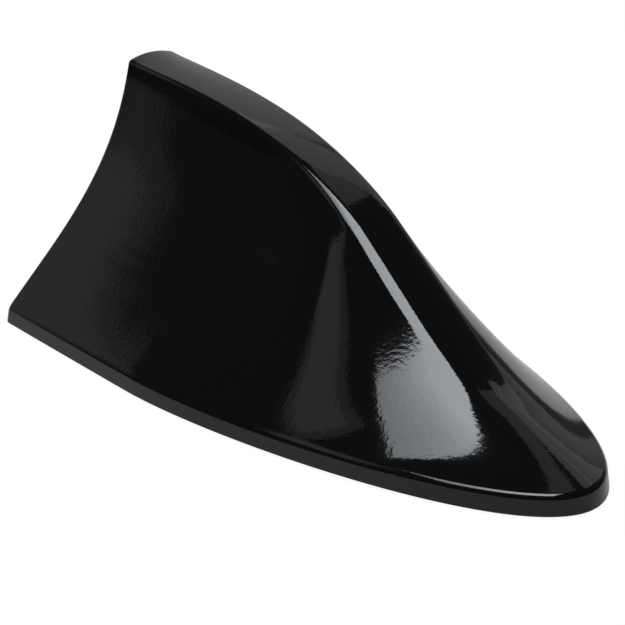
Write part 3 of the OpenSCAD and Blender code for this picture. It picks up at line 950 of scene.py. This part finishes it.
@dataclass
class Carried:
    """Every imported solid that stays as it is, with the stock it is made of."""

    stock: dict[str, Stock] = field(default_factory=lambda: {
        "base_plate": Stock.BASE, "housing_seal": Stock.RUBBER, "ground_plate": Stock.ZINC,
        "main_board": Stock.BOARD, "element_board": Stock.BOARD,
        "radiator_track": Stock.COPPER, "coil_former": Stock.NYLON,
        "loading_coil": Stock.COPPER, "top_plate": Stock.ZINC, "shield_can": Stock.TIN,
        "amplifier_chip": Stock.CHIP, "filter_capacitors": Stock.CERAMIC,
        "choke_coils": Stock.FERRITE, "cable_socket": Stock.BRASS,
        "cable_grommet": Stock.RUBBER, "ground_spring": Stock.BRASS,
        "board_brackets": Stock.BRASS, "board_screws": Stock.STEEL,
        "cover_screws": Stock.STEEL, "drain_membrane": Stock.VENT,
        "outer_shell": Stock.BASE, "adhesive_pad": Stock.RUBBER})

    def dress(self, nodes: dict[str, bpy.types.Object]) -> None:
        """Gives each solid its finish.

        Args:
            nodes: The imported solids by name.
        """
        made: dict[Stock, bpy.types.Material] = {}
        for name, stock in self.stock.items():
            if stock not in made:
                made[stock] = stock.value.make()
            for slot in nodes[name].material_slots:
                slot.material = made[stock]
            LOG.info("dressed %s in %s", name, stock.value.name)


# ---------------------------------------------------------------------- studio


@dataclass(frozen=True)
class Softbox:
    """One area lamp, set by the direction it is seen in from the part."""

    name: str
    azimuth: float
    elevation: float
    wide: float
    tall: float
    roll: float
    radiance: float
    colour: tuple[float, float, float] = (1.0, 1.0, 1.0)
    grades: tuple[tuple[float, float], ...] = ((1.0, 1.0),)
    away: float = 1.2

    def build(self, aim: Vector) -> list[bpy.types.Object]:
        """Adds the lamp, as overlaid sheets where its light gathers toward its right edge.

        Args:
            aim: The point that it faces.

        Returns:
            The lamps, one for each grade's share of the width and of the radiance.
        """
        a, e = math.radians(self.azimuth), math.radians(self.elevation)
        out = Vector((math.cos(a) * math.cos(e), math.sin(a) * math.cos(e), math.sin(e)))
        turn = out.to_track_quat("Z", "Y").to_euler()
        turn.rotate_axis("Z", math.radians(self.roll))
        across = turn.to_matrix() @ Vector((1.0, 0.0, 0.0))
        wide = 2 * self.away * math.tan(math.radians(self.wide / 2))
        tall = 2 * self.away * math.tan(math.radians(self.tall / 2))
        made = []
        for k, (share, part) in enumerate(self.grades):
            lamp = bpy.data.lights.new(f"{self.name}_{k}", "AREA")
            lamp.shape = "RECTANGLE"
            lamp.size, lamp.size_y = wide * share, tall
            lamp.energy = self.radiance * part * math.pi * lamp.size * lamp.size_y
            lamp.color = self.colour
            piece = bpy.data.objects.new(lamp.name, lamp)
            bpy.context.scene.collection.objects.link(piece)
            piece.location = (aim + out * self.away * (1 + 0.004 * k)
                              + across * wide * (1 - share) / 2)
            piece.rotation_euler = turn
            piece.visible_camera = False
            made.append(piece)
        return made


@dataclass
class Studio:
    """The floor, the lamps, the world and the camera."""

    aim: Vector = field(default_factory=lambda: Vector((0.0, 0.0, 0.025)))
    camera_azimuth: float = 53.49
    camera_elevation: float = 21.21
    camera_away: float = 0.7
    pixels_per_mm: float = 4.76
    image: float = 625.0
    target_pixel: tuple[float, float] = (350.75, 280.14)
    room: float = 0.06
    boxes: tuple[Softbox, ...] = (
        Softbox("overhead", -78.3, 76.2, 43.8, 27.2, 26.1, 3.7, (0.92, 0.96, 1.0),
                ((1.0, 1.0), (0.92, 0.15), (0.86, 0.17), (0.8, 0.2), (0.74, 0.22),
                 (0.68, 0.22), (0.62, 0.22))),
        Softbox("left_glow", -119.5, 41.0, 14.0, 24.0, 24.0, 0.20),
        Softbox("left_core", -119.8, 39.5, 9.5, 21.0, 24.0, 0.20),
        Softbox("far_low", 152.0, 19.0, 52.0, 38.0, 0.0, 0.42),
        Softbox("far_high", 126.0, 44.5, 36.0, 13.0, 0.0, 0.46),
        Softbox("nose_high", 119.0, 62.5, 16.0, 23.0, 0.0, 0.30),
        Softbox("nose_glow", 114.0, 28.0, 14.0, 20.0, 0.0, 0.38),
        Softbox("nose_low", 117.0, 11.0, 17.0, 13.0, 0.0, 0.17),
    )
    rear_far: float = -172.0
    rear_fade: float = 2.6
    rear_radiance: float = 0.26
    rear_low: float = -1.0
    rear_bend: float = 16.4
    rear_top: float = 33.0
    rear_rows: int = 12
    rear_edge: tuple[tuple[float, float], ...] = (
        (17.2, -142.8), (19.2, -143.2), (25.2, -146.6), (29.3, -151.8), (32.2, -156.4))
    # A painted pool of light on the floor, seen only in the gloss: its centre, then where its fade
    # starts and ends, in metres.
    painted_pool_centre: tuple[float, float] = (0.10, 0.12)
    painted_pool_near: float = 0.32
    painted_pool_far: float = 0.50

    def floor(self) -> None:
        """Adds the pale floor, which the camera sees as white where no shadow falls, while the gloss
        mirrors a painted pool of light round the part.
        """
        Bench.clear()
        bpy.ops.mesh.primitive_plane_add(size=6.0, location=(0, 0, -0.0001))
        piece = bpy.context.object
        piece.name = "studio_floor"
        paint = Paint("studio_floor")
        seen, mirrored = self.rays(paint)
        split = paint.node("ShaderNodeSeparateXYZ", None, {"Vector": paint.place})
        east, north = (Value(paint, split.outputs[k]) - self.painted_pool_centre[k] for k in (0, 1))
        away = (east * east + north * north) ** 0.5
        # painted light: a pool of brightness round the part that fades to 0.06 between the near and
        # far radii
        tone = paint.level(away, self.painted_pool_near, self.painted_pool_far, 1.0, 0.06)
        # painted shade: mirrored rays see the floor's albedo fall from 0.3 in the pool to nearly
        # black beyond it; other rays see a plain 0.8 white
        albedo_with_painted_pool = paint.mix(mirrored, (0.8, 0.8, 0.8), paint.mix(tone, (0.0, 0.0, 0.0), (0.3, 0.3, 0.3)))
        # painted light: the pool is made brighter behind the part (up to threefold) and toward its
        # tail (up to 1.7 times), and dimmer toward its nose
        tone = tone * paint.level(north, -0.05, 0.15, 1.0, 3.0)
        tone = tone * paint.level(east, -0.18, -0.02, 1.7, 0.8)
        # painted light: only mirrored rays see this emission, so the floor glows in the pool though
        # it is no lamp
        painted_glow = paint.mix(mirrored * tone, (0.0, 0.0, 0.0), (0.30, 0.30, 0.30))
        paint.set(Base_Color=paint.mix(seen, albedo_with_painted_pool, (0.09, 0.09, 0.09)), Roughness=1.0,
                  Specular_IOR_Level=0.0, Emission_Strength=1.0,
                  Emission_Color=paint.mix(seen, painted_glow, (0.94, 0.94, 0.94)))
        Bench.paint(piece, paint.material)

    def rear(self) -> Iterator[Softbox]:
        """Yields the rows of the rear softbox, whose near edge is upright, then leans back."""
        heights, edges = zip(*self.rear_edge)
        rows = [self.rear_low, *np.linspace(self.rear_bend, self.rear_top, self.rear_rows)]
        for k, (low, high) in enumerate(zip(rows, rows[1:])):
            middle = float(low + high) / 2
            edge = float(np.interp(middle, heights, edges))
            wide = (edge - self.rear_far) * math.cos(math.radians(middle))
            yield Softbox(f"rear_{k}", (edge + self.rear_far) / 2, middle, wide,
                          float(high - low), 180.0, self.rear_radiance,
                          grades=((1.0, 0.45), (1.0 - self.rear_fade / wide, 0.55)))

    @staticmethod
    def rays(paint: Paint) -> tuple[Value, Value]:
        """Returns whether a ray comes from the camera, and whether from a mirror or through glass."""
        path = paint.node("ShaderNodeLightPath")
        glossy = Value(paint, path.outputs["Is Glossy Ray"])
        through = Value(paint, path.outputs["Is Transmission Ray"])
        return Value(paint, path.outputs["Is Camera Ray"]), glossy + through

    def world(self) -> None:
        """Makes a world that is white to the camera and a dim room to the part."""
        world = bpy.data.worlds.new("studio_room")
        world.use_nodes = True
        tree = world.node_tree
        tree.nodes.clear()
        path = tree.nodes.new("ShaderNodeLightPath")
        dim, white = tree.nodes.new("ShaderNodeBackground"), tree.nodes.new("ShaderNodeBackground")
        dim.inputs["Color"].default_value = (self.room, self.room, self.room, 1.0)
        white.inputs["Color"].default_value = (1.0, 1.0, 1.0, 1.0)
        mixed, out = tree.nodes.new("ShaderNodeMixShader"), tree.nodes.new("ShaderNodeOutputWorld")
        tree.links.new(path.outputs["Is Camera Ray"], mixed.inputs[0])
        tree.links.new(dim.outputs[0], mixed.inputs[1])
        tree.links.new(white.outputs[0], mixed.inputs[2])
        tree.links.new(mixed.outputs[0], out.inputs["Surface"])
        bpy.context.scene.world = world

    def camera(self) -> None:
        """Sets the camera at the photograph's angle and framing."""
        a, e = math.radians(self.camera_azimuth), math.radians(self.camera_elevation)
        back = Vector((math.sin(a) * math.cos(e), -math.cos(a) * math.cos(e), math.sin(e)))
        data = bpy.data.cameras.new("photo_camera")
        data.sensor_width = 36.0
        data.lens = self.pixels_per_mm * self.camera_away / MM / self.image * data.sensor_width
        data.shift_x = (self.image / 2 - self.target_pixel[0]) / self.image
        data.shift_y = (self.target_pixel[1] - self.image / 2) / self.image
        made = bpy.data.objects.new("photo_camera", data)
        bpy.context.scene.collection.objects.link(made)
        made.location = self.aim + back * self.camera_away
        made.rotation_euler = back.to_track_quat("Z", "Y").to_euler()
        bpy.context.scene.camera = made

    def build(self) -> None:
        """Sets up the whole studio."""
        self.camera()
        self.floor()
        self.world()
        for box in self.boxes + tuple(self.rear()):
            box.build(self.aim)
        bpy.context.scene.view_settings.view_transform = "Standard"


def main() -> None:
    """Builds the studio, the cover and the pad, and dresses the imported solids."""
    logging.basicConfig(level=logging.INFO)
    Studio().build()
    Carried().dress(frame["nodes"])
    cover = FinCover()
    shell = cover.build()
    cover.dress(shell)
    LOG.info("cover: %d faces", len(shell.data.polygons))
    pad = FoamPad()
    sheet = pad.build(cover)
    pad.dress(sheet)
    LOG.info("pad: %d faces", len(sheet.data.polygons))


if __name__ == "__main__":
    main()
